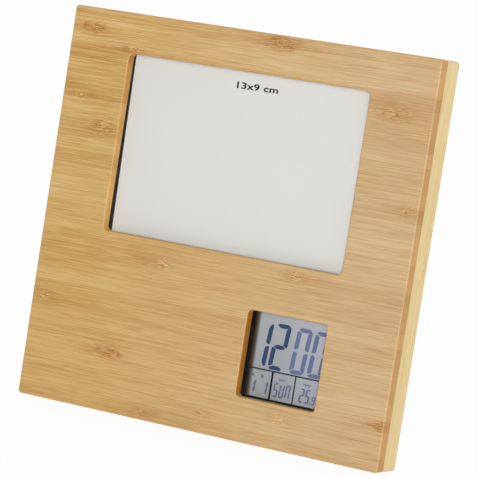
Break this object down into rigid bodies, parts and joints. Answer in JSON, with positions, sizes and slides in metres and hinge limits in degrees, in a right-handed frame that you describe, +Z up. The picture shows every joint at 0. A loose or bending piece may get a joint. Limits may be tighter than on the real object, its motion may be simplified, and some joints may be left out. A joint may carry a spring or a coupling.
{
  "type": "photo frame clock",
  "caption": "Leaning bamboo desk frame for a landscape photo, with a small digital clock, calendar and thermometer set in below it and a folding stand leg behind.",
  "frame": {"origin": "on the table, under the middle of the whole object with its leg open", "axes": "+X to the right as seen from the front, +Y from the face toward the leg, +Z up"},
  "size_m": [0.19, 0.1038, 0.1814],
  "materials": {
    "bamboo_face": "satin lacquer over strips of bamboo",
    "bamboo_edge": "satin lacquer over paler bamboo",
    "clear_sheet": "clear and polished",
    "card_white": "smooth uncoated card",
    "card_black": "matt black card",
    "card_brown": "plain corrugated card",
    "hardboard": "smooth hardboard",
    "plated_steel": "bright zinc plate",
    "black_plastic": "fine moulded texture",
    "grey_plastic": "smooth moulded",
    "display_glass": "grey display with dark blue segments",
    "reflector_foil": "matt foil",
    "connector_rubber": "soft rubber",
    "board_green": "green solder mask",
    "black_resin": "cured resin",
    "bright_metal": "nickel plate",
    "yellow_metal": "plain brass"
  },
  "bodies": {
    "frame": {"front_ply": "bamboo_face", "rear_ply": "bamboo_edge", "photo_glazing": "clear_sheet", "photo_card": "card_white", "card_backer": "card_black", "corrugated_filler": "card_brown", "backing_board": "hardboard", "turn_button_screws": "plated_steel", "hinge_leaf_fixed": "plated_steel", "hinge_pin": "plated_steel", "fixed_leaf_rivets": "plated_steel", "clock_case_front": "black_plastic", "display_lens": "clear_sheet", "lcd_panel": "display_glass", "lcd_reflector": "reflector_foil", "zebra_strip": "connector_rubber", "lcd_foam": "connector_rubber", "circuit_board": "board_green", "key_switches": "black_resin", "clock_chip": "black_resin", "quartz_crystal": "bright_metal", "thermistor": "black_resin", "small_components": "black_resin", "buzzer_disc": "yellow_metal", "buzzer_wires": "yellow_metal", "button_cell": "bright_metal", "battery_contact_negative": "bright_metal", "battery_contact_positive": "bright_metal", "clock_case_back": "black_plastic", "case_screws": "plated_steel", "module_screws": "plated_steel"},
    "leg": {"stand_leg": "bamboo_edge", "hinge_leaf_moving": "plated_steel", "leg_rivets": "plated_steel"},
    "door": {"battery_door": "black_plastic"},
    "turn_upper_left": {"turn_button_upper_left": "plated_steel"},
    "turn_upper_right": {"turn_button_upper_right": "plated_steel"},
    "turn_lower_left": {"turn_button_lower_left": "plated_steel"},
    "turn_lower_right": {"turn_button_lower_right": "plated_steel"},
    "mode_key": {"mode_button": "grey_plastic"},
    "set_key": {"set_button": "grey_plastic"},
    "up_key": {"up_button": "grey_plastic"},
    "down_key": {"down_button": "grey_plastic"}
  },
  "joints": [
    {"name": "leg_fold", "type": "hinge", "parent": "frame", "child": "leg", "pos_m": [0, 0.01293, 0.137], "axis": [1, 0, 0], "range_deg": [-32, 0]},
    {"name": "door_slide", "type": "slide", "parent": "frame", "child": "door", "axis": [1, 0, 0], "range_m": [0, 0.024]},
    {"name": "turn_upper_left_swivel", "type": "hinge", "parent": "frame", "child": "turn_upper_left", "pos_m": [-0.0735, 0.01339, 0.14085], "axis": [0, 0.9511, -0.309], "continuous": true},
    {"name": "turn_upper_right_swivel", "type": "hinge", "parent": "frame", "child": "turn_upper_right", "pos_m": [0.0735, 0.01339, 0.14085], "axis": [0, 0.9511, -0.309], "continuous": true},
    {"name": "turn_lower_left_swivel", "type": "hinge", "parent": "frame", "child": "turn_lower_left", "pos_m": [-0.0735, -0.00144, 0.09519], "axis": [0, 0.9511, -0.309], "continuous": true},
    {"name": "turn_lower_right_swivel", "type": "hinge", "parent": "frame", "child": "turn_lower_right", "pos_m": [0.0735, -0.00144, 0.09519], "axis": [0, 0.9511, -0.309], "continuous": true},
    {"name": "mode_press", "type": "slide", "parent": "frame", "child": "mode_key", "axis": [0, -0.9511, 0.309], "range_m": [0, 0.0008], "stiffness_N_per_m": 800},
    {"name": "set_press", "type": "slide", "parent": "frame", "child": "set_key", "axis": [0, -0.9511, 0.309], "range_m": [0, 0.0008], "stiffness_N_per_m": 800},
    {"name": "up_press", "type": "slide", "parent": "frame", "child": "up_key", "axis": [0, -0.9511, 0.309], "range_m": [0, 0.0008], "stiffness_N_per_m": 800},
    {"name": "down_press", "type": "slide", "parent": "frame", "child": "down_key", "axis": [0, -0.9511, 0.309], "range_m": [0, 0.0008], "stiffness_N_per_m": 800}
  ]
}
